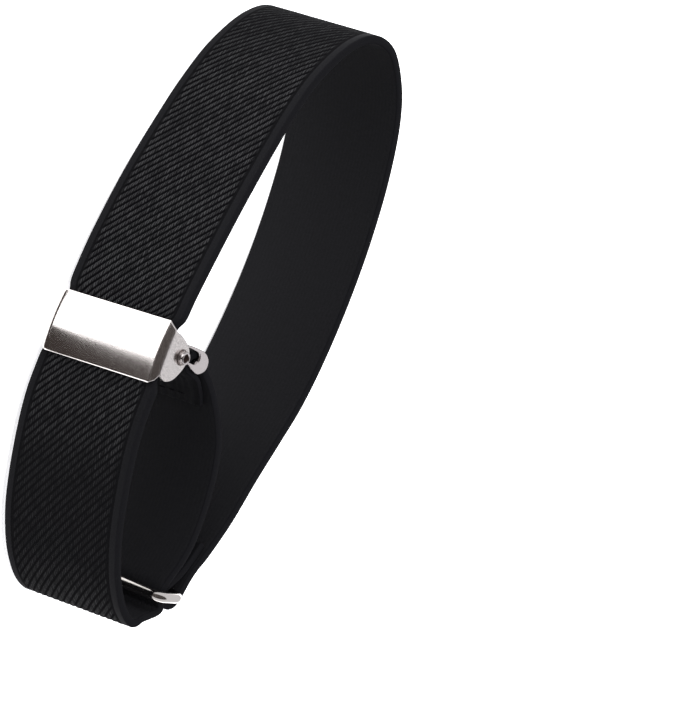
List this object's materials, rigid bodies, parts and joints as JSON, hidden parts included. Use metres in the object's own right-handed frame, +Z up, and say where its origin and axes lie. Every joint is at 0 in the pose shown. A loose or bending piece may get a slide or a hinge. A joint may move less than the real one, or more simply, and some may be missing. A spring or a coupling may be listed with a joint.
{
  "type": "sleeve garter",
  "caption": "Loop of black ribbed elastic worn round a shirt sleeve, with a wire slide ring and a metal lever adjuster.",
  "frame": {"origin": "on the surface that the garter stands on, under the middle of its bounding box", "axes": "+X along the loop, from the top fold to the ring; +Y across the loop, from the cover plate to the back strap; +Z up, across the strap's width"},
  "size_m": [0.11, 0.0482, 0.0282],
  "materials": {
    "webbing": "woven elastic twill with plain selvedges, soft",
    "wire": "polished nickel plating",
    "plate": "satin nickel plating",
    "lever": "tumbled nickel plating"
  },
  "bodies": {
    "root": {"elastic_strap": "webbing", "slide_ring": "wire", "cover_plate": "plate", "grip_lever": "lever"}
  },
  "joints": []
}
